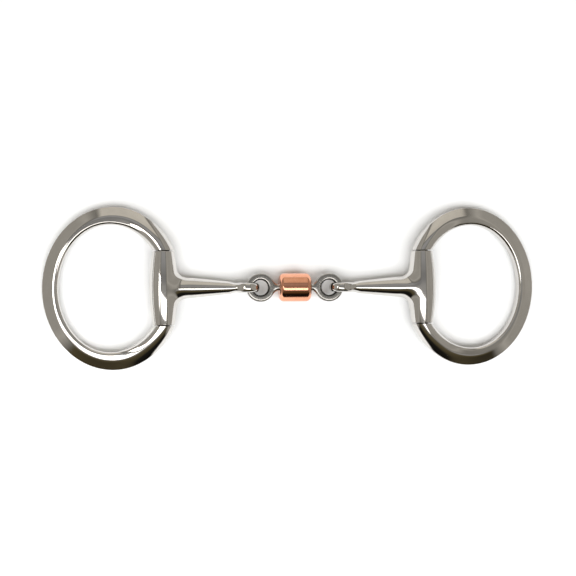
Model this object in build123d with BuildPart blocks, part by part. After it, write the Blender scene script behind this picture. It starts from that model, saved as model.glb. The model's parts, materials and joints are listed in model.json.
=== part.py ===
from build123d import *

import os
from math import asin, cos, hypot, pi, radians, sin

# Double-jointed snaffle bit with flat-ring eggbutt cheeks and a copper roller, in millimetres.
# It lies flat. +X runs along the mouthpiece to the right, +Y along the barrels, +Z up.
# The origin is the centre of the copper roller, which is also the centre of the whole bit.
os.makedirs("parts", exist_ok=True)

# ---- driving dimensions ----
mouth_width = 127.0  # between the barrels' mouth-side ends: a five inch bit

barrel_length = 38.7
barrel_end_radius = 5.7
barrel_mid_radius = 7.5  # the egg shape; the same as the roller, so the mouthpiece lies level
barrel_x = mouth_width / 2 + barrel_end_radius
edge_round = 0.4

pin_radius = 3.2
pin_socket_depth = 5.0
bore_clearance = 0.06  # radial, in the barrel's bore
joint_gap = 0.45  # between the barrel's end and the ring's end, on each side

ring_outer_x = 26.2  # centre of the outer outline, from the barrel's axis
ring_outer_a = 36.7  # half width of the outer outline on the far side
ring_outer_b = 42.6  # half height of the outer outline
ring_inner_x = 27.7
ring_inner_a = 26.8
ring_inner_b = 33.2
ring_ridge_height = 3.2  # half of the ring's thickness along its crown
ring_wall_height = 1.2  # half of the thin outer wall's thickness
ring_facet = 5.5  # width of the sloping facet, from the crown to the outer wall
ring_sections = 19

arm_eye_x = 25.0
arm_eye_bore = 3.4
arm_eye_radius = 6.4
arm_eye_width = 4.75
arm_radii = [  # (distance from the barrel's axis, radius) along the mouthpiece arm
    (0.0, 5.8),
    (10.0, 5.65),
    (20.0, 4.85),
    (28.0, 4.0),
    (36.0, 3.25),
    (40.0, 2.85),
]
arm_root_fillet = 4.6
gusset_reach = 11.0  # where the eye's upright spread runs out along the cannon
gusset_tip = 2.4

link_eye_x = 18.3
link_eye_bore = 4.0
link_eye_radius = 7.6
link_thickness = 4.0
loop_round = 1.15  # rounding of the edges of both kinds of eye

spindle_radius = 1.95
spindle_half = 9.0  # the straight part under the roller
neck_length = 3.0
neck_spread = 2.9
roller_clearance = 0.09
roller_radius = 7.5
roller_length = 16.9
roller_round = 2.6

# The ring droops about the barrel until the crown of its far limb touches the floor.
ring_ridge_reach = ring_outer_x + ring_outer_a - ring_facet - 0.5
ring_droop = asin((roller_radius - ring_ridge_height) / ring_ridge_reach)
ring_end = barrel_length / 2 + joint_gap


def blend(low, high, share):
    return low + (high - low) * share


def smooth(share):
    share = min(max(share, 0.0), 1.0)
    return share * share * (3 - 2 * share)


def ring_outline(share, centre_x, far_a, b, end_x):
    """Point on one outline at a share 0..1 of the way from the ring's upper end to its lower end.

    The outline is two half ellipses. The one at the barrel is as wide as makes it pass through end_x
    where the ring ends.
    """
    first = asin(ring_end / b)
    turn = blend(first, 2 * pi - first, share)
    near_a = (centre_x - end_x) / cos(first)
    a = near_a if cos(turn) > 0 else far_a
    return centre_x - a * cos(turn), b * sin(turn)


def ring_section(share):
    """Centre, outward direction, half width and flatness of the limb, in the ring's plane."""
    outer = ring_outline(share, ring_outer_x, ring_outer_a, ring_outer_b, -barrel_end_radius)
    inner = ring_outline(share, ring_inner_x, ring_inner_a, ring_inner_b, barrel_end_radius)
    centre = ((outer[0] + inner[0]) / 2, (outer[1] + inner[1]) / 2)
    across = (outer[0] - inner[0], outer[1] - inner[1])
    width = hypot(*across)
    flatness = smooth((centre[0] + 1) / 26)
    return centre, (across[0] / width, across[1] / width), width / 2, flatness


def section_points(half_width, flatness):
    """Upper half of the limb's outline: round at the barrel, a wedge with a thin outer wall far away."""
    crown = half_width - ring_facet
    wedge = [
        (half_width, 0.0),
        (half_width - 0.15, ring_wall_height),
        (crown + ring_facet / 2, (ring_wall_height + ring_ridge_height) / 2),
        (crown, ring_ridge_height - 0.15),
        (-half_width + 1.3, ring_ridge_height - 0.5),
        (-half_width, 0.0),
    ]
    turns = [0, 28, 56, 92, 130, 180]
    round_height = blend(barrel_end_radius, ring_ridge_height, flatness)
    points = []
    for (x, z), turn in zip(wedge, turns):
        round_x = half_width * cos(radians(turn))
        round_z = round_height * sin(radians(turn))
        points.append((blend(round_x, x, flatness), blend(round_z, z, flatness)))
    return points


# ---- cheek rings ----
ring_plane = Plane(
    origin=(barrel_x, 0, 0),
    x_dir=(cos(ring_droop), 0, -sin(ring_droop)),
    z_dir=(sin(ring_droop), 0, cos(ring_droop)),
)

with BuildPart() as right_ring:
    for step in range(ring_sections):
        centre, outward, half_width, flatness = ring_section(step / (ring_sections - 1))
        across = ring_plane.from_local_coords(Vector(*outward, 0)) - ring_plane.origin
        normal = across.cross(ring_plane.z_dir)
        place = ring_plane.from_local_coords(Vector(*centre, 0))
        with BuildSketch(Plane(origin=place, x_dir=across, z_dir=normal)):
            with BuildLine():
                upper = section_points(half_width, flatness)
                Spline(*upper, tangents=[(0, 1), (0, -1)])
                Spline(*[(x, -z) for x, z in upper[::-1]], tangents=[(0, -1), (0, 1)])
            make_face()
    loft()
    # sockets for the hinge pin in both ends of the ring
    with BuildSketch(Plane.XZ.offset(-ring_end)):
        with Locations((barrel_x, 0)):
            Circle(pin_radius)
    extrude(amount=-pin_socket_depth, mode=Mode.SUBTRACT)
    with BuildSketch(Plane.XZ.offset(ring_end)):
        with Locations((barrel_x, 0)):
            Circle(pin_radius)
    extrude(amount=pin_socket_depth, mode=Mode.SUBTRACT)

with BuildPart() as left_ring:
    mirror(right_ring.part, about=Plane.YZ)

# ---- hinge pins ----
with BuildPart() as right_pin:
    with BuildSketch(Plane.XZ):
        with Locations((barrel_x, 0)):
            Circle(pin_radius)
    extrude(amount=ring_end + pin_socket_depth - 0.3, both=True)
    chamfer(right_pin.edges().filter_by(GeomType.CIRCLE), length=0.3)

with BuildPart() as left_pin:
    mirror(right_pin.part, about=Plane.YZ)

# ---- mouthpiece arms: barrel, tapering cannon and eye in one casting ----
barrel_axis = Axis((barrel_x, 0, 0), (0, 1, 0))
eye_axis = Axis((arm_eye_x, 0, 0), (0, 1, 0))

with BuildPart() as right_arm:
    with BuildSketch(Plane.XY):
        with BuildLine():
            low = (barrel_x + barrel_end_radius, -barrel_length / 2)
            high = (barrel_x + barrel_end_radius, barrel_length / 2)
            ThreePointArc(low, (barrel_x + barrel_mid_radius, 0), high)
            Polyline(high, (barrel_x, high[1]), (barrel_x, low[1]), low)
        make_face()
    revolve(axis=barrel_axis)
    # the cannon is round and tapers towards the eye
    with BuildSketch(Plane.XY):
        with BuildLine():
            side = [(barrel_x - reach, radius) for reach, radius in arm_radii]
            Line((barrel_x, 0), side[0])
            Spline(*side)
            Polyline(side[-1], (side[-1][0], 0), (barrel_x, 0))
        make_face()
    revolve(axis=Axis.X)
    root = right_arm.edges().filter_by(GeomType.BSPLINE).filter_by_position(
        Axis.X, barrel_x - barrel_mid_radius, barrel_x - barrel_end_radius / 2
    )
    fillet(root, radius=arm_root_fillet)
    barrel_rims = right_arm.edges().filter_by(GeomType.CIRCLE).sort_by(Axis.Y)
    fillet([barrel_rims[0], barrel_rims[-1]], radius=edge_round)
    # the eye stands upright, so that the link's flat eye can pass through it
    with BuildSketch(Plane.XY):
        with Locations((arm_eye_x - (arm_eye_radius + arm_eye_bore) / 2, 0)):
            RectangleRounded(arm_eye_radius - arm_eye_bore, arm_eye_width, loop_round)
    revolve(axis=eye_axis)
    # the cannon's end spreads up and down into the eye
    with BuildSketch(Plane.XZ):
        with Locations((arm_eye_x, 0)):
            Circle(arm_eye_radius - 0.4)
        with Locations((arm_eye_x + gusset_reach, 0)):
            Circle(gusset_tip)
        make_hull()
        with Locations((arm_eye_x, 0)):
            Circle(arm_eye_radius - loop_round, mode=Mode.SUBTRACT)
    extrude(amount=arm_eye_width / 2 - loop_round, both=True)
    # bore for the hinge pin, right through the barrel
    with BuildSketch(Plane.XZ):
        with Locations((barrel_x, 0)):
            Circle(pin_radius + bore_clearance)
    extrude(amount=barrel_length, both=True, mode=Mode.SUBTRACT)

with BuildPart() as left_arm:
    mirror(right_arm.part, about=Plane.YZ)

# ---- centre link: a spindle for the roller with a flat eye at each end ----
with BuildPart() as link:
    for side in (-1, 1):
        with BuildSketch(Plane.XZ):
            with Locations((side * (link_eye_x + (link_eye_radius + link_eye_bore) / 2), 0)):
                RectangleRounded(link_eye_radius - link_eye_bore, link_thickness, loop_round)
        revolve(axis=Axis((side * link_eye_x, 0, 0), (0, 0, 1)))
        # the neck spreads sideways into the eye with hollow flanks
        with BuildSketch(Plane.XY):
            with BuildLine():
                neck = (side * spindle_half, spindle_radius)
                spread = (side * (spindle_half + neck_length), spindle_radius + neck_spread)
                Spline(neck, spread, tangents=((side, 0), (side * 0.6, 1)))
                Polyline(spread, (side * link_eye_x, spread[1]), (side * link_eye_x, 0))
                Polyline((side * link_eye_x, 0), (neck[0], 0), neck)
            make_face()
            mirror(about=Plane.XZ)
            with Locations((side * link_eye_x, 0)):
                Circle(link_eye_radius - loop_round, mode=Mode.SUBTRACT)
        extrude(amount=link_thickness / 2 - 0.4, both=True)
    with BuildSketch(Plane.YZ):
        Circle(spindle_radius)
    extrude(amount=spindle_half + neck_length, both=True)

# ---- copper roller ----
with BuildPart() as roller:
    with BuildSketch(Plane.YZ):
        Circle(roller_radius)
    extrude(amount=roller_length / 2, both=True)
    fillet(roller.edges().filter_by(GeomType.CIRCLE), radius=roller_round)
    with BuildSketch(Plane.YZ):
        Circle(spindle_radius + roller_clearance)
    extrude(amount=roller_length, both=True, mode=Mode.SUBTRACT)
    fillet(roller.edges().filter_by(GeomType.CIRCLE).filter_by(
        lambda edge: edge.radius < spindle_radius + 1), radius=0.4)

# ---- export ----
pieces = {
    "left_cheek_ring": left_ring,
    "right_cheek_ring": right_ring,
    "left_hinge_pin": left_pin,
    "right_hinge_pin": right_pin,
    "left_mouthpiece_arm": left_arm,
    "right_mouthpiece_arm": right_arm,
    "centre_link": link,
    "copper_roller": roller,
}
for name, piece in pieces.items():
    piece.part.label = name
    export_step(piece.part, f"parts/{name}.step")
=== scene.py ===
# %% [markdown]
# # A double-jointed snaffle bit in polished steel and copper
#
# A snaffle bit is the metal mouthpiece of a bridle. This one has a flat cheek ring at each end, an
# egg-shaped barrel that the ring turns in, two tapering arms, and a centre link with a copper
# roller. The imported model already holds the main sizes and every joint, so this lesson only makes
# the skins and the finishes. The metal is polished like a mirror, and a mirror shows every flat
# spot, so each skin is a fine grid worked out by formula.

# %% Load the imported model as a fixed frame
import json
from math import pi, radians

import bmesh
import bpy
import numpy as np
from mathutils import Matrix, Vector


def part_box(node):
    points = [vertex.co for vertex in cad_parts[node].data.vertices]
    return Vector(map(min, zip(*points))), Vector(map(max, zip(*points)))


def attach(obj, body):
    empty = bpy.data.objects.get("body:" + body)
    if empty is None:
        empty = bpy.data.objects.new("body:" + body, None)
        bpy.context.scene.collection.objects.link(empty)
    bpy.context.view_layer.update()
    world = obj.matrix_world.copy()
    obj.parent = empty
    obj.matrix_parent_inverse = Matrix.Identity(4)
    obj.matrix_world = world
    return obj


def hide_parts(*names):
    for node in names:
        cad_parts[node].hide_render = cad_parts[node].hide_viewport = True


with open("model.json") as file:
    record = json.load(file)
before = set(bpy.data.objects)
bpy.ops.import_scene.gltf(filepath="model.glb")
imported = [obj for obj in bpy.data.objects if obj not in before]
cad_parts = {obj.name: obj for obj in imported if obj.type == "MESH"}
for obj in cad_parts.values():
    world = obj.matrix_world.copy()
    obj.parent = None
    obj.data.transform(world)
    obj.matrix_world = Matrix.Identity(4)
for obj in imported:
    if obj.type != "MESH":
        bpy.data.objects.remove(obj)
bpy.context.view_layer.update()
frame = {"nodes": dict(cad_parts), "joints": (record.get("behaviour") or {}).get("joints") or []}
print("nodes:", sorted(frame["nodes"]))

# %% [markdown]
# ## Sizes read from the frame
#
# The frame is in metres, and a bit is easier to think about in millimetres, so every size here is
# turned into millimetres and every grid is turned back at the end. The joints say where the barrels
# and the eyes are.

# %% Take the bit's sizes from its boxes and joints
MM = 0.001


def box_mm(node):
    """Lowest and highest corner of a node, in millimetres."""
    low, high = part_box(node)
    return np.array(low) / MM, np.array(high) / MM


joint_x = {joint["name"]: joint["pos_m"][0] / MM for joint in frame["joints"]}
barrel_x = joint_x["right_ring_swing"]
arm_eye_x = joint_x["right_arm_fold"]
arm_low, arm_high = box_mm("right_mouthpiece_arm")
ring_low = box_mm("right_cheek_ring")[0]
link_high = box_mm("centre_link")[1]
roller_low, roller_high = box_mm("copper_roller")
pin_low, pin_high = box_mm("right_hinge_pin")
pin_radius = (pin_high[0] - pin_low[0]) / 2
barrel_half = arm_high[1]
barrel_mid_radius = arm_high[0] - barrel_x
arm_eye_radius = arm_eye_x - arm_low[0]
link_eye_radius = link_high[1]
link_eye_x = link_high[0] - link_eye_radius
link_half_thick = link_high[2]
floor_z = min(ring_low[2], roller_low[2], arm_low[2])
print(f"barrels at {barrel_x:.1f} mm, arm eyes at {arm_eye_x:.1f} mm")
print(f"link eyes at {link_eye_x:.1f} mm, floor at {floor_z:.1f} mm")

# %% [markdown]
# ## From a grid of points to a mesh
#
# Every piece is a grid: rows along the piece, columns round it. The columns close on themselves.
# Where a skin meets itself at a seam or a pole, the doubled points are merged, and the faces are
# then turned outwards.

# %% A helper that turns rows of points into a closed, smooth mesh
merge_within = 2e-6  # metres: doubled points at seams and poles are nearer than this
shortest_edge = 1e-7
crease_angle = radians(50)


def edge_faces(mesh):
    """How many faces each edge has: 2 everywhere on a closed skin."""
    edges = np.zeros(len(mesh.loops), np.int32)
    mesh.loops.foreach_get("edge_index", edges)
    return np.bincount(edges, minlength=len(mesh.edges))


def grid_quads(count, around, first):
    """Corners of face (i, j): rows i, i+1 and columns j, j+1; the last column joins the first."""
    i, j = np.meshgrid(np.arange(count - 1), np.arange(around), indexing="ij")
    k = (j + 1) % around
    here, above = i * around, (i + 1) * around
    quads = np.stack([here + j, here + k, above + k, above + j], axis=-1)
    return quads.reshape(-1, 4) + first


def skin_mesh(name, grids, mirrored=False):
    """One closed mesh from grids (rows x columns x 3, in millimetres) that meet at their rims."""
    points = np.concatenate([grid.reshape(-1, 3) for grid in grids]) * MM
    if mirrored:
        points = points * (-1, 1, 1)
    firsts = np.cumsum([0] + [grid.shape[0] * grid.shape[1] for grid in grids[:-1]])
    faces = [grid_quads(*grid.shape[:2], first) for grid, first in zip(grids, firsts)]
    mesh = bpy.data.meshes.new(name)
    mesh.from_pydata(points.tolist(), [], np.concatenate(faces).tolist())
    work = bmesh.new()
    work.from_mesh(mesh)
    bmesh.ops.remove_doubles(work, verts=work.verts, dist=merge_within)
    bmesh.ops.dissolve_degenerate(work, edges=work.edges, dist=shortest_edge)
    bmesh.ops.recalc_face_normals(work, faces=work.faces)
    work.to_mesh(mesh)
    work.free()
    mesh.shade_smooth()
    mesh.set_sharp_from_angle(angle=crease_angle)
    piece = bpy.data.objects.new(name, mesh)
    bpy.context.scene.collection.objects.link(piece)
    open_edges = int((edge_faces(mesh) != 2).sum())
    print(name, len(mesh.polygons), "faces,", open_edges, "open edges")
    return piece


def smooth(share):
    """The soft step 3s^2 - 2s^3, held between 0 and 1."""
    share = np.clip(share, 0, 1)
    return share * share * (3 - 2 * share)


def mix(low, high, share):
    """Straight blend from low to high."""
    return low + (high - low) * share


# %% [markdown]
# ## Skins that a round bar can grow out of
#
# The barrel and the eyes are each a skin with two parameters: a turn `a` and a second measure `b`.
# Cut an oval window in such a skin, and a bar can grow out of the window with a smooth root, as
# metal flows in a casting. The columns of the bar go on over the skin, from the window to the
# skin's far seam. So barrel, bar and eye are one unbroken grid, and the polished root shows no
# crease.

# %% The barrel's egg-shaped skin
barrel_end_radius = 5.7
barrel_edge_round = 0.4
pin_clearance = 0.06
bore_radius = pin_radius + pin_clearance
barrel_straight = barrel_half - barrel_edge_round
barrel_b = barrel_straight + barrel_edge_round * pi / 2


def barrel_profile(b):
    """Place y and radius at b along the profile: a long bow, with a quarter round at each end."""
    rise = barrel_mid_radius - barrel_end_radius
    bow = (barrel_half**2 + rise**2) / (2 * rise)
    along = np.clip(np.abs(b), 0, barrel_straight)
    radius = barrel_mid_radius - bow + np.sqrt(bow**2 - along**2)
    turn = np.clip((np.abs(b) - barrel_straight) / barrel_edge_round, 0, pi / 2)
    y = np.sign(b) * (along + barrel_edge_round * np.sin(turn))
    return y, radius - barrel_edge_round * (1 - np.cos(turn))


def barrel_skin(a, b):
    """Point at turn a round the barrel, 0 facing the mouth, and distance b along its profile."""
    y, radius = barrel_profile(b)
    return np.stack([barrel_x - radius * np.cos(a), y, radius * np.sin(a)], axis=-1)


print(f"barrel radius {barrel_mid_radius:.2f} mm, bore {bore_radius:.2f} mm")


# %% The skin of an eye
def squared(value, power):
    """Signed power, which squares up a circle: power 1 is round, less is squarer."""
    return np.sign(value) * np.abs(value) ** power


def eye_skin(centre_x, toward, outer, bore, half_width, power, root_width=0.0):
    """A loop in the XZ plane: a runs round the hole from the bar's side, b round the metal.

    The metal is wider by root_width next to the bar, and the extra width ends at cos(a) = -0.4.
    """
    middle, half = (outer + bore) / 2, (outer - bore) / 2
    root_end = 0.4

    def skin(a, b):
        width = half_width + root_width * smooth((np.cos(a) + root_end) / (1 + root_end))
        reach = middle + half * squared(np.cos(b), power)
        y = width * squared(np.sin(b), power)
        return np.stack([centre_x + toward * reach * np.cos(a), y, reach * np.sin(a)], axis=-1)

    return skin


# %% Carry the columns from an oval window to the far seam of a skin
def window(skin, turn, size_a, size_b):
    """Points of the oval window and the unit direction that leaves it, both inside the skin."""
    a, b = size_a * np.sin(turn), size_b * np.cos(turn)
    step = 1e-4
    here = skin(a, b)
    away = skin(a + step * size_a * np.sin(turn), b + step * size_b * np.cos(turn)) - here
    return here, away / np.linalg.norm(away, axis=-1, keepdims=True)


def over_skin(skin, turn, size_a, size_b, full_a, full_b, corner, shares):
    """Rows from the window to the skin's edge: (a, b) goes straight from the oval to the rim."""
    fold = np.arcsin(np.clip(np.abs(np.sin(turn)), 0, 1))
    rim_a = np.minimum(fold / corner, 1) * np.sign(np.sin(turn)) * full_a
    left_over = (pi / 2 - fold) / (pi / 2 - corner)
    rim_b = np.minimum(left_over, 1) * np.sign(np.cos(turn)) * full_b
    share = shares[:, None]
    a = mix(size_a * np.sin(turn), rim_a, share)
    b = mix(size_b * np.cos(turn), rim_b, share)
    return skin(a, b)


def root_rows(bar, heading, landing, away, fullness, shares):
    """A cubic curve in each column, from the bar along heading to the skin along away."""
    reach = np.linalg.norm(landing - bar, axis=-1, keepdims=True) * fullness
    one, two = bar + heading * reach, landing - away * reach
    s = shares[:, None, None]
    rest = 1 - s
    return rest**3 * bar + 3 * rest**2 * s * one + 3 * rest * s**2 * two + s**3 * landing


def bar_rows(x, radius, turn):
    """Circles of the given radii round the X axis."""
    ring = np.stack([np.zeros_like(turn), np.cos(turn), np.sin(turn)], axis=-1)
    rows = radius[:, None, None] * ring[None]
    rows[..., 0] = x[:, None]
    return rows


# %% [markdown]
# ## The mouthpiece arms
#
# Each arm is one casting. The barrel is an egg-shaped tube, the cannon leaves it with a generous
# root and tapers to the middle of the mouth, and there it spreads into an upright eye. The taper is
# a smooth curve through a few radii. The right arm is worked out, and the left one is its mirror
# image.

# %% Work out one arm from eye to barrel
columns = 200
x_way = np.array([1.0, 0.0, 0.0])
corner = pi / 4  # the column that runs to the corner of an unrolled skin
arm_turn = np.arange(columns) * 2 * pi / columns
arm_eye_bore = 3.4
arm_eye_half_width = 2.375
arm_eye_power = 0.86
arm_eye_root_width = 0.3
arm_eye_sizes = (arm_eye_radius, arm_eye_bore, arm_eye_half_width)
arm_eye = eye_skin(arm_eye_x, 1, *arm_eye_sizes, arm_eye_power, arm_eye_root_width)
arm_eye_window = (radians(52), radians(84))
barrel_window = (radians(78), 11.4)
spread_fullness, root_fullness = 0.46, 0.5
cannon_reach = np.array([14.5, 18.0, 22.0, 28.0, 33.0])  # from the barrel's axis
cannon_radius = np.array([5.36, 5.04, 4.62, 4.0, 3.45])


def arm_rows():
    """Rows: far side of the eye, eye, spread, cannon, root and barrel, up to its end rims."""
    taper = np.polyfit(cannon_reach, cannon_radius, 3)
    x = np.linspace(barrel_x - cannon_reach[-1], barrel_x - cannon_reach[0], 40)
    cannon = bar_rows(x, np.polyval(taper, barrel_x - x), arm_turn)
    landing, away = window(arm_eye, arm_turn, *arm_eye_window)
    spread = root_rows(cannon[0], -x_way, landing, away, spread_fullness, np.linspace(0, 1, 26))
    loop = over_skin(arm_eye, arm_turn, *arm_eye_window, pi, pi, corner, np.linspace(0, 1, 48))
    landing, away = window(barrel_skin, arm_turn, *barrel_window)
    root = root_rows(cannon[-1], x_way, landing, away, root_fullness, np.linspace(0, 1, 34))
    # the rows stand closer together near the barrel's ends, where the edges are rounded
    shares = np.concatenate([np.linspace(0, 0.86, 44), np.linspace(0.86, 1, 22)[1:]])
    barrel = over_skin(barrel_skin, arm_turn, *barrel_window, pi, barrel_b, corner, shares)
    return np.concatenate([loop[::-1], spread[::-1][1:], cannon[1:], root[1:], barrel[1:]])


def barrel_end_rows():
    """The two flat end faces and the bore between them, as circles round the barrel's axis."""
    fold = np.arcsin(np.clip(np.abs(np.sin(arm_turn)), 0, 1))
    upper = (fold <= corner + 1e-9) & (np.cos(arm_turn) > 0)
    a = np.sort((np.sign(np.sin(arm_turn)) * fold / corner * pi)[upper])
    rim = barrel_profile(barrel_b)[1]
    between = mix(rim, bore_radius, 0.5)
    rows = []
    for radius, end in ((rim, 1), (between, 1), (bore_radius, 1), (bore_radius, -1), (rim, -1)):
        y = np.full_like(a, end * barrel_half)
        rows.append(np.stack([barrel_x - radius * np.cos(a), y, radius * np.sin(a)], axis=-1))
    return np.array(rows)


arm_grids = [arm_rows(), barrel_end_rows()]
right_arm_skin = skin_mesh("right_arm_skin", arm_grids)
left_arm_skin = skin_mesh("left_arm_skin", arm_grids, mirrored=True)

# %% [markdown]
# ## The centre link
#
# The link is a cast spindle with a flat eye at each end. It is the arm's recipe again, with an eye
# at both ends of a plain bar. It is worked out with the eyes upright and then laid flat by swapping
# Y and Z. Its faces are flatter than the arm's eye, so the section is squared up more.

# %% Work out the link from eye to eye
spindle_radius = 1.95
spindle_half = 8.8
link_eye_bore = 4.0
link_eye_power = 0.52
link_eye_window = (radians(40), radians(80))
neck_fullness = 0.42


def link_rows():
    """Rows: left eye, left neck, spindle, right neck, right eye."""
    x = np.linspace(-spindle_half, spindle_half, 24)
    spindle = bar_rows(x, np.full_like(x, spindle_radius), arm_turn)
    ends = []
    for side, last in ((-1, spindle[0]), (1, spindle[-1])):
        sizes = (link_eye_radius, link_eye_bore, link_half_thick)
        eye = eye_skin(side * link_eye_x, -side, *sizes, link_eye_power)
        landing, away = window(eye, arm_turn, *link_eye_window)
        neck = root_rows(last, side * x_way, landing, away, neck_fullness, np.linspace(0, 1, 24))
        loop = over_skin(eye, arm_turn, *link_eye_window, pi, pi, corner, np.linspace(0, 1, 60))
        ends.append(np.concatenate([neck[1:], loop[1:]]))
    upright = np.concatenate([ends[0][::-1], spindle, ends[1]])
    return upright[..., [0, 2, 1]]


link_skin = skin_mesh("link_skin", [link_rows()])

# %% [markdown]
# ## The cheek rings
#
# A flat ring is forged, not bent from round bar. Where it leaves the barrel it is round, and on the
# way to the far side it turns into a wedge: a thin outer wall, a broad sloping facet, a ridge, and
# a rounded inner shoulder that the rein slides on. An outer and an inner outline, each made of two
# half ellipses, give the ring's plan. At each place along the ring a straight cut between the
# outlines gives the limb's width, and the section is fitted to it.

# %% The plan of the ring
outer_x, outer_a, outer_b = 26.2, 36.7, 42.6
inner_x, inner_a, inner_b = 27.7, 26.8, 33.2
joint_gap = 0.45
ring_end = barrel_half + joint_gap
crown_height = 3.2
wall_height = 1.2
facet_width = 5.5
wall_edge_round, ridge_round, shoulder_round = 0.3, 5.2, 1.9
socket_depth = 4.9
flat_from, flat_over = -1.0, 26.0  # the limb turns from round to flat over this run of x
crown_reach = outer_x + outer_a - facet_width - 0.5  # where the far limb rests on the floor
droop = np.arcsin((roller_high[2] - crown_height) / crown_reach)
print(f"each ring droops {np.degrees(droop):.1f} degrees to lie on the floor")


def ring_outline(share, centre_x, far_a, b, end_x):
    """Points on two half ellipses; the one at the barrel is as wide as makes it end at end_x."""
    first = np.arcsin(ring_end / b)
    turn = mix(first, 2 * pi - first, share)
    a = np.where(np.cos(turn) > 0, (centre_x - end_x) / np.cos(first), far_a)
    return np.stack([centre_x - a * np.cos(turn), b * np.sin(turn)], axis=-1)


def ring_plan(share):
    """Centre, outward way, half width and flatness of the limb, cut from inner to outer outline."""
    outer = ring_outline(share, outer_x, outer_a, outer_b, -barrel_end_radius)
    inner = ring_outline(share, inner_x, inner_a, inner_b, barrel_end_radius)
    centre = (outer + inner) / 2
    half_width = np.linalg.norm(outer - inner, axis=-1) / 2
    outward = (outer - inner) / (2 * half_width[:, None])
    return centre, outward, half_width, smooth((centre[:, 0] - flat_from) / flat_over)


# %% The limb's section: a polygon whose corners are rounded by arcs
def rounded_outline(corners, radii, arc_steps, side_steps):
    """Points round a closed polygon: each corner is an arc, and each side a straight run."""
    before, after = np.roll(corners, 1, axis=-2), np.roll(corners, -1, axis=-2)
    back, ahead = before - corners, after - corners
    back = back / np.linalg.norm(back, axis=-1, keepdims=True)
    ahead = ahead / np.linalg.norm(ahead, axis=-1, keepdims=True)
    half = np.arccos(np.clip((back * ahead).sum(-1), -1, 1)) / 2
    trim = (radii / np.tan(half))[..., None]
    start, end = corners + back * trim, corners + ahead * trim
    inward = (back + ahead) / np.linalg.norm(back + ahead, axis=-1, keepdims=True)
    middle = corners + inward * (radii / np.sin(half))[..., None]
    share = np.linspace(0, 1, arc_steps)[:, None]
    spoke = mix(start[..., None, :], end[..., None, :], share) - middle[..., None, :]
    spoke = spoke / np.linalg.norm(spoke, axis=-1, keepdims=True)
    arcs = middle[..., None, :] + spoke * radii[..., None, None]
    run = np.linspace(0, 1, side_steps + 2)[1:-1, None]
    sides = mix(arcs[..., -1:, :], np.roll(arcs, -1, axis=-3)[..., :1, :], run)
    outline = np.concatenate([arcs, sides], axis=-2)
    return outline.reshape(*outline.shape[:-3], -1, 2)


def limb_outline(half_width, flatness):
    """Section points (across, height): a rounded wedge, blended to an ellipse at flatness 0."""
    zero = np.zeros_like(half_width)
    above = [
        (half_width, zero + wall_height),
        (half_width - facet_width, zero + crown_height),
        (-half_width, zero + crown_height),
    ]
    corners = [*above, *[(across, -height) for across, height in above[::-1]]]
    corners = np.stack([np.stack(point, axis=-1) for point in corners], axis=-2)
    radii = [wall_edge_round, ridge_round, shoulder_round]
    radii = np.broadcast_to(np.array(radii + radii[::-1]), corners.shape[:-1])
    wedge = rounded_outline(corners, radii, 16, 6)
    turn = np.arctan2(wedge[..., 1] / crown_height, wedge[..., 0] / half_width[..., None])
    round_height = mix(barrel_end_radius, crown_height, flatness)[..., None]
    round_width = half_width[..., None]
    circle = np.stack([round_width * np.cos(turn), round_height * np.sin(turn)], axis=-1)
    return mix(circle, wedge, flatness[..., None, None])


# %% Carry the section round the ring and close its ends
def ring_rows():
    """Rows of sections from one end of the ring to the other, and the centres they stand on."""
    centre, outward, half_width, flatness = ring_plan(np.linspace(0, 1, 420))
    outline = limb_outline(half_width, flatness)
    plan = centre[:, None] + outward[:, None] * outline[..., :1]
    return np.concatenate([plan, outline[..., 1:]], axis=-1), centre


def ring_caps(rows, centre):
    """End faces: the outline shrinks to the pin's socket, which goes into the limb and closes."""
    caps = []
    for end, inward in ((0, 1.0), (-1, -1.0)):
        rim = rows[end]
        middle = np.array([centre[end, 0], rim[:, 1].mean(), 0.0])
        spoke = rim - middle
        mouth = middle + spoke / np.linalg.norm(spoke, axis=-1, keepdims=True) * pin_radius
        deep = np.array([0.0, inward * socket_depth, 0.0])
        bottom = np.broadcast_to(middle + deep, rim.shape)
        caps.append(np.array([rim, mix(mouth, rim, 0.5), mouth, mouth + deep, bottom]))
    return caps


def placed(points):
    """Tips the flat ring by its droop about the barrel's axis and moves it to the barrel."""
    x, y, z = np.moveaxis(points, -1, 0)
    across = barrel_x + x * np.cos(droop) + z * np.sin(droop)
    return np.stack([across, y, z * np.cos(droop) - x * np.sin(droop)], axis=-1)


ring_flat, ring_centre = ring_rows()
ring_grids = [placed(ring_flat)] + [placed(cap) for cap in ring_caps(ring_flat, ring_centre)]
right_ring_skin = skin_mesh("right_ring_skin", ring_grids)
left_ring_skin = skin_mesh("left_ring_skin", ring_grids, mirrored=True)

# %% [markdown]
# ## The roller and the pins
#
# Both are turned parts, so each is a profile spun round an axis. The roller's ends are well rounded
# for the horse's tongue, and its bore has a small rounded mouth.

# %% Spin a profile round an axis
def spun(along, radius, around, axis):
    """Rows of circles: the profile's radius carried round the axis, X or Y."""
    turn = np.arange(around) * 2 * pi / around
    side, up = radius[:, None] * np.cos(turn), radius[:, None] * np.sin(turn)
    ahead = np.broadcast_to(along[:, None], side.shape)
    return np.stack([ahead, side, up] if axis == "X" else [side, ahead, up], axis=-1)


def closed_profile(corners, radii, steps):
    """A closed profile of (along, radius) points with rounded corners, ending where it began."""
    outline = rounded_outline(np.array(corners, float), np.array(radii, float), steps, 10)
    return np.concatenate([outline, outline[:1]])


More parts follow.
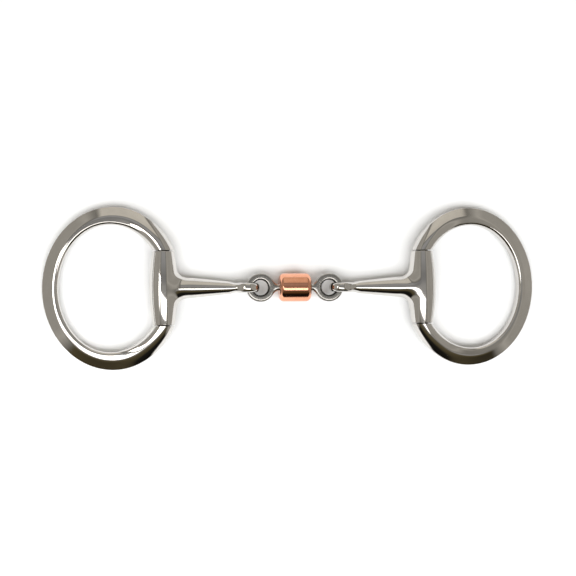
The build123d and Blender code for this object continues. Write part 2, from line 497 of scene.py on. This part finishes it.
roller_half, roller_radius = roller_high[0], roller_high[2]
roller_clearance = 0.09
roller_end_round, roller_mouth_round = 2.6, 0.45
roller_bore = spindle_radius + roller_clearance
roller_corners = [
    (-roller_half, roller_radius),
    (roller_half, roller_radius),
    (roller_half, roller_bore),
    (-roller_half, roller_bore),
]
roller_rounds = [roller_end_round] * 2 + [roller_mouth_round] * 2
roller_profile = closed_profile(roller_corners, roller_rounds, 16)
roller_grid = spun(roller_profile[:, 0], roller_profile[:, 1], 160, "X")
roller_skin = skin_mesh("roller_skin", [roller_grid])

pin_half, chamfer = pin_high[1], 0.3
pin_side, pin_tip = pin_half - chamfer, pin_radius - chamfer
pin_y = np.array([-pin_half, -pin_half, -pin_side, pin_side, pin_half, pin_half])
pin_r = np.array([0.0, pin_tip, pin_radius, pin_radius, pin_tip, 0.0])
pin_grid = spun(pin_y, pin_r, 48, "Y") + np.array([barrel_x, 0, 0])
right_pin_skin = skin_mesh("right_pin_skin", [pin_grid])
left_pin_skin = skin_mesh("left_pin_skin", [pin_grid], mirrored=True)

# %% [markdown]
# ## Finishes
#
# Metal shows its finish in three ways: its tint, how sharp its reflections are, and what small
# marks break them. Two effects are shared by all four finishes, so each is a node group: haze,
# which is the slow change from clear to dull over a handled surface, and hairlines, which are the
# fine scratches of use and polishing.

# %% A helper that adds nodes
def add(tree, kind, inputs=None, **settings):
    """Adds a node, sets its settings, and gives each named or numbered input a value or a link."""
    made = tree.nodes.new(kind)
    for key, value in settings.items():
        setattr(made, key, value)
    for key, value in (inputs or {}).items():
        if isinstance(value, bpy.types.NodeSocket):
            tree.links.new(value, made.inputs[key])
        else:
            made.inputs[key].default_value = value
    return made


def new_group(name, numbers, outputs):
    """An empty shader group: a position and some numbers go in, and numbers come out."""
    group = bpy.data.node_groups.new(name, "ShaderNodeTree")
    group.interface.new_socket("Position", in_out="INPUT", socket_type="NodeSocketVector")
    for label, value in numbers.items():
        socket = group.interface.new_socket(label, in_out="INPUT", socket_type="NodeSocketFloat")
        socket.default_value = value
    for label in outputs:
        group.interface.new_socket(label, in_out="OUTPUT", socket_type="NodeSocketFloat")
    return group, group.nodes.new("NodeGroupInput"), group.nodes.new("NodeGroupOutput")


def maths(tree, operation, *values, **settings):
    """The result of a sum on sockets and numbers."""
    inputs = dict(enumerate(values))
    return add(tree, "ShaderNodeMath", inputs, operation=operation, **settings).outputs[0]


def noise(tree, position, scale, detail):
    """The value of a noise texture."""
    inputs = {"Vector": position, "Scale": scale, "Detail": detail}
    return add(tree, "ShaderNodeTexNoise", inputs).outputs[0]


def blend(tree, share, low, high, kind="RGBA"):
    """A mix of two colours, or of two numbers where the kind is FLOAT."""
    first, result = (6, 2) if kind == "RGBA" else (2, 0)
    inputs = {0: share, first: low, first + 1: high}
    return add(tree, "ShaderNodeMix", inputs, data_type=kind).outputs[result]


# %% The two shared effects
def haze_group():
    """Haze: two sizes of noise, mixed and then spread about 0.5 by the contrast."""
    group, start, end = new_group("haze", {"Scale": 60.0, "Contrast": 1.0}, ["Haze"])
    position, scale = start.outputs["Position"], start.outputs["Scale"]
    broad = noise(group, position, scale, 5.0)
    fine = noise(group, position, maths(group, "MULTIPLY", scale, 6.5), 3.0)
    centred = maths(group, "SUBTRACT", blend(group, 0.35, broad, fine, "FLOAT"), 0.5)
    spread = maths(group, "MULTIPLY", centred, start.outputs["Contrast"])
    lifted = maths(group, "ADD", spread, 0.5, use_clamp=True)
    group.links.new(lifted, end.inputs["Haze"])
    return group


def hairlines_group():
    """Hairlines: noise stretched along three directions, kept only where it peaks."""
    group, start, end = new_group("hairlines", {"Scale": 900.0, "Amount": 0.5}, ["Lines"])
    position, scale = start.outputs["Position"], start.outputs["Scale"]
    total = None
    for turn in ((0.0, 0.0, 0.3), (0.2, 0.4, 1.4), (0.5, 0.1, 2.5)):
        stretch = {"Vector": position, "Rotation": turn, "Scale": (1.0, 0.035, 1.0)}
        turned = add(group, "ShaderNodeMapping", stretch).outputs[0]
        grain = noise(group, turned, scale, 2.0)
        peak = add(group, "ShaderNodeMapRange", {0: grain, 1: 0.66, 2: 0.78}).outputs[0]
        total = peak if total is None else maths(group, "MAXIMUM", total, peak)
    kept = maths(group, "MULTIPLY", total, start.outputs["Amount"])
    group.links.new(kept, end.inputs["Lines"])
    return group


haze, hairlines = haze_group(), hairlines_group()
print("node groups:", haze.name, hairlines.name)


# %% A metal made from a tint, a haze and hairlines
haze_contrast = 2.2
scratch_dullness = 0.12


def metal(name, clear, dull, smoothest, roughest, haze_scale, scratches):
    """A metal whose tint and roughness go from clear to dull with the haze, plus hairlines."""
    material = bpy.data.materials.new(name)
    material.use_nodes = True
    tree = material.node_tree
    shader = tree.nodes["Principled BSDF"]
    shader.inputs["Metallic"].default_value = 1.0
    place = add(tree, "ShaderNodeTexCoord").outputs["Object"]
    cloud = add(tree, "ShaderNodeGroup", node_tree=haze)
    tree.links.new(place, cloud.inputs["Position"])
    cloud.inputs["Scale"].default_value = haze_scale
    cloud.inputs["Contrast"].default_value = haze_contrast
    lines = add(tree, "ShaderNodeGroup", node_tree=hairlines)
    tree.links.new(place, lines.inputs["Position"])
    lines.inputs["Amount"].default_value = scratches
    tint = blend(tree, cloud.outputs["Haze"], (*clear, 1), (*dull, 1))
    tree.links.new(tint, shader.inputs["Base Color"])
    span = {0: cloud.outputs["Haze"], 3: smoothest, 4: roughest}
    blur = add(tree, "ShaderNodeMapRange", span).outputs[0]
    scuffs = maths(tree, "MULTIPLY", lines.outputs["Lines"], scratch_dullness)
    tree.links.new(maths(tree, "ADD", blur, scuffs), shader.inputs["Roughness"])
    return material, tree, shader, place, cloud.outputs["Haze"], lines.outputs["Lines"]


def bump(tree, shader, height, strength, distance):
    """Feeds a height into the shader's normal."""
    inputs = {"Height": height, "Strength": strength, "Distance": distance}
    tree.links.new(add(tree, "ShaderNodeBump", inputs).outputs[0], shader.inputs["Normal"])


# %% [markdown]
# ### Polished stainless steel
#
# Stainless is a little warmer and darker than silver. A buffed bit is almost a mirror, with faint
# ripples left by the buffing wheel, so the bump is a very shallow broad wave plus hairlines.

# %% Polished steel for the rings and arms
def polished_steel():
    """Mirror steel: low roughness, a shallow ripple and few hairlines."""
    material, tree, shader, place, _, lines = metal(
        "polished_steel", (0.70, 0.68, 0.655), (0.62, 0.60, 0.575), 0.035, 0.10, 45.0, 0.5
    )
    ripple = noise(tree, place, 160.0, 1.0)
    cut = maths(tree, "MULTIPLY", lines, -0.25)
    bump(tree, shader, maths(tree, "ADD", ripple, cut), 0.10, 0.00008)
    return material


# %% [markdown]
# ### Cast steel
#
# The link is cast and tumbled but not buffed, so it is a little grainy and darker than the arms.
# Painted shade lines both eyes: a dark ring stands where the walls of each hole fall into shade.
# It is painted by the distance from the centre of each eye, because that follows the hole exactly.

# %% Satin cast steel for the link
# painted shade in the link's eyes: its reach from each eye's centre, its fade and its colour
painted_shade_reach, painted_shade_fade = 4.95, 0.35
painted_shade_tint = (0.035, 0.033, 0.03, 1)


def cast_steel():
    """Tumbled casting: a grainy surface, duller in patches, and painted shade inside both eyes."""
    material, tree, shader, place, cloud, _ = metal(
        "cast_steel", (0.50, 0.485, 0.465), (0.38, 0.37, 0.35), 0.09, 0.22, 120.0, 0.8
    )
    # painted shade: a dark lining in both eyes, by reach from the eye's centre
    apart = add(tree, "ShaderNodeSeparateXYZ", {0: place})
    side = maths(tree, "ABSOLUTE", apart.outputs[0])
    along = maths(tree, "SUBTRACT", side, link_eye_x * MM)
    flat = add(tree, "ShaderNodeCombineXYZ", {0: along, 1: apart.outputs[1]}).outputs[0]
    reach = add(tree, "ShaderNodeVectorMath", {0: flat}, operation="LENGTH").outputs["Value"]
    fade = {0: reach, 1: painted_shade_reach * MM, 2: (painted_shade_reach - painted_shade_fade) * MM}
    eye_shade_mask = add(tree, "ShaderNodeMapRange", fade).outputs[0]
    tint = shader.inputs["Base Color"].links[0].from_socket
    tree.links.new(blend(tree, eye_shade_mask, tint, painted_shade_tint), shader.inputs["Base Color"])
    grain = noise(tree, place, 1500.0, 4.0)
    bump(tree, shader, maths(tree, "ADD", grain, cloud), 0.16, 0.00008)
    return material


# %% [markdown]
# ### Copper
#
# The roller is solid copper. Handling darkens it in soft patches, and the lathe leaves fine rings
# round it, which stretch the highlight along the roller.

# %% Copper for the roller
def copper():
    """Warm copper with fine turned rings that follow the roller's own axis."""
    material, tree, shader, place, _, lines = metal(
        "copper", (0.92, 0.47, 0.305), (0.79, 0.34, 0.20), 0.07, 0.17, 90.0, 0.8
    )
    squeeze = {"Vector": place, "Scale": (1.0, 0.01, 0.01)}
    along = add(tree, "ShaderNodeMapping", squeeze).outputs[0]
    rings = noise(tree, along, 2600.0, 3.0)
    bump(tree, shader, maths(tree, "SUBTRACT", rings, lines), 0.08, 0.00006)
    return material


# %% [markdown]
# ### Dark steel
#
# A pin is seen only in the narrow gap at each end of its barrel, where it is painted almost
# black. So it takes the same recipe with a very dark tint and a dull surface.

# %% Dark steel for the pins
def pin_steel():
    """Drawn steel in the barrels, painted almost black where the joint lets it be seen."""
    clear, dull = (0.10, 0.097, 0.09), (0.04, 0.038, 0.035)
    return metal("pin_steel", clear, dull, 0.30, 0.5, 200.0, 0.6)[0]


finishes = {
    "polished_steel": polished_steel(),
    "cast_steel": cast_steel(),
    "copper": copper(),
    "pin_steel": pin_steel(),
}
print("finishes:", sorted(finishes))

# %% [markdown]
# ## Every skin rides on its body
#
# A skin stands for the plain node of the same piece: it replaces the node in the picture, moves
# with the node's body, and takes the finish listed for it below.

# %% Dress the frame
dressing = [
    (left_ring_skin, "left_cheek_ring", "left_cheek", "polished_steel"),
    (right_ring_skin, "right_cheek_ring", "right_cheek", "polished_steel"),
    (left_pin_skin, "left_hinge_pin", "left_cheek", "pin_steel"),
    (right_pin_skin, "right_hinge_pin", "right_cheek", "pin_steel"),
    (left_arm_skin, "left_mouthpiece_arm", "left_arm", "polished_steel"),
    (right_arm_skin, "right_mouthpiece_arm", "right_arm", "polished_steel"),
    (link_skin, "centre_link", "link", "cast_steel"),
    (roller_skin, "copper_roller", "roller", "copper"),
]
for piece, node, body, finish in dressing:
    piece.data.materials.append(finishes[finish])
    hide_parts(node)
    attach(piece, body)
    print(f"{piece.name} stands for {node} on {body}, in {finish}")

# %% [markdown]
# ## Floor, light and camera
#
# Polished metal has no look of its own: it shows the room. The room here is a plain studio. A long
# soft light hangs overhead, a little in front of the bit, and a small one to the west draws the
# stripe on the left barrel. A third light whitens the floor and is kept out of all reflections. The
# ceiling is mid grey, the front wall is dark and the back wall is pale, so each round bar shows a
# bright line, a dark line and soft greys.

# %% A plain white floor
floor_mesh = bpy.data.meshes.new("floor")
floor_half = 1.6  # metres
floor_corners = [(x * floor_half, y * floor_half) for x, y in ((-1, -1), (1, -1), (1, 1), (-1, 1))]
floor_mesh.from_pydata([(x, y, floor_z * MM) for x, y in floor_corners], [], [(0, 1, 2, 3)])
floor = bpy.data.objects.new("floor", floor_mesh)
bpy.context.scene.collection.objects.link(floor)
floor_paint = bpy.data.materials.new("floor_paint")
floor_paint.use_nodes = True
floor_shader = floor_paint.node_tree.nodes["Principled BSDF"]
floor_shader.inputs["Base Color"].default_value = (0.88, 0.88, 0.88, 1)
floor_shader.inputs["Roughness"].default_value = 1.0
floor_shader.inputs["Specular IOR Level"].default_value = 0.0
floor_mesh.materials.append(floor_paint)
print(f"floor {2 * floor_half} m square")

# %% The studio's walls and ceiling, as colour by direction
# degrees from overhead towards the front (the back wall comes first), brightness and warmth
room = [
    (-90, 0.62, 0.10),
    (-64, 0.70, 0.12),
    (-40, 0.62, 0.12),
    (-36, 0.16, 0.04),
    (-31, 0.37, 0.01),
    (-18, 0.35, 0.01),
    (-11, 0.28, 0.02),
    (-8, 0.24, 0.02),
    (-4, 0.26, 0.02),
    (-1, 0.36, 0.04),
    (22, 0.36, 0.06),
    (28, 0.11, 0.30),
    (40, 0.085, 0.48),
    (48, 0.055, 0.45),
    (55, 0.012, 0.20),
    (82, 0.006, 0.10),
    (88, 0.70, 0.06),
]
# lean of the direction to the left or right, from 0 to 1, and brightness
sides = [
    (0.34, 0.15),
    (0.42, 0.30),
    (0.50, 0.46),
    (0.58, 0.37),
    (0.84, 0.38),
    (0.94, 0.42),
    (1.0, 0.34),
]
side_warmth = 0.10
wall_starts, wall_full = 0.30, 0.38
front_reach = 0.6  # how far the dark front wall reaches round to meet the side walls


def colour_ramp(tree, value, stops):
    """Colour by value: stops of place, level and warmth, where warmth adds red and takes blue."""
    node = add(tree, "ShaderNodeValToRGB", {0: value})
    elements = node.color_ramp.elements
    while len(elements) < len(stops):
        elements.new(0.5)
    for element, (stop, level, warmth) in zip(elements, stops):
        element.position = stop
        element.color = (level * (1 + warmth / 2), level, level * (1 - warmth), 1)
    return node.outputs[0]


world = bpy.data.worlds.new("studio")
world.use_nodes = True
bpy.context.scene.world = world
tree = world.node_tree
way = add(tree, "ShaderNodeSeparateXYZ", {0: add(tree, "ShaderNodeTexCoord").outputs["Generated"]})
front = maths(tree, "MULTIPLY", way.outputs[1], -1.0)
angle = maths(tree, "ARCTAN2", front, way.outputs[2])
share = add(tree, "ShaderNodeMapRange", {0: angle, 1: -pi / 2, 2: pi / 2}).outputs[0]
room_stops = [((degrees + 90) / 180, level, warmth) for degrees, level, warmth in room]
room_colour = colour_ramp(tree, share, room_stops)
side_stops = [(stop, level, side_warmth) for stop, level in sides]
lean = maths(tree, "ABSOLUTE", way.outputs[0])
forward = maths(tree, "MAXIMUM", front, 0.0)
sideways = maths(tree, "MULTIPLY_ADD", forward, -front_reach, lean)
side_colour = colour_ramp(tree, sideways, side_stops)
edge = {0: sideways, 1: wall_starts, 2: wall_full}
wall = add(tree, "ShaderNodeMapRange", edge, interpolation_type="SMOOTHSTEP").outputs[0]
tree.links.new(blend(tree, wall, room_colour, side_colour), tree.nodes["Background"].inputs[0])
print("room:", len(room), "stops, side walls:", len(sides), "stops")


# %% The soft lights
def soft_light(name, low, high, height, radiance):
    """A rectangular light facing down between two corners (x, y), with a height and a radiance."""
    lamp = bpy.data.lights.new(name, "AREA")
    lamp.shape = "RECTANGLE"
    lamp.size, lamp.size_y = high[0] - low[0], high[1] - low[1]
    lamp.energy = radiance * pi * lamp.size * lamp.size_y
    lamp.color = (1.0, 0.985, 0.96)
    made = bpy.data.objects.new(name, lamp)
    made.location = ((low[0] + high[0]) / 2, (low[1] + high[1]) / 2, height)
    bpy.context.scene.collection.objects.link(made)
    return made


overhead = soft_light("overhead_softbox", (-0.46, -0.33), (0.36, -0.08), 0.9, 2.6)
overhead.rotation_euler = (0, 0, radians(-7))
# the west light is low and narrow, so that only the left half of the bit mirrors it
west = soft_light("west_softbox", (-0.272, -0.14), (-0.214, 0.05), 0.26, 0.62)
west.rotation_euler = (0, radians(-30), radians(-20))
west.data.spread = radians(50)
fill = soft_light("floor_fill", (-1.4, -1.25), (1.4, -0.15), 1.4, 3.9)
fill.data.color = (0.96, 0.98, 1.0)
fill.visible_glossy = False
print("lights:", overhead.name, west.name, fill.name)

# %% [markdown]
# The camera looks straight down, tipped a little so that the left cheek is nearer. Its distance is
# a guess. The tip then follows from how much larger the left cheek looks than the right one, and
# the lens from the width of the view.

# %% The camera
camera_distance = 0.55
growth = 0.214  # how much larger things look for each metre to the left
camera_tip = np.arcsin(growth * camera_distance)
view_width = 0.308021  # metres across the view at the bit's centre
aim = np.array([-0.0036, 0.0001, 0.0])
roll = radians(-0.34)  # the bit lies a touch askew in the view
camera_data = bpy.data.cameras.new("camera")
camera_data.sensor_width = 36.0
camera_data.lens = camera_data.sensor_width * camera_distance / np.cos(camera_tip) / view_width
camera_data.clip_start = 0.01
camera = bpy.data.objects.new("camera", camera_data)
tipped = np.array([-np.sin(camera_tip), 0, np.cos(camera_tip)])
camera.location = aim + camera_distance * tipped
camera.rotation_euler = (0, -camera_tip, roll)
bpy.context.scene.collection.objects.link(camera)
bpy.context.scene.camera = camera
bpy.context.scene.view_settings.view_transform = "Standard"
print(f"lens {camera_data.lens:.1f} mm")
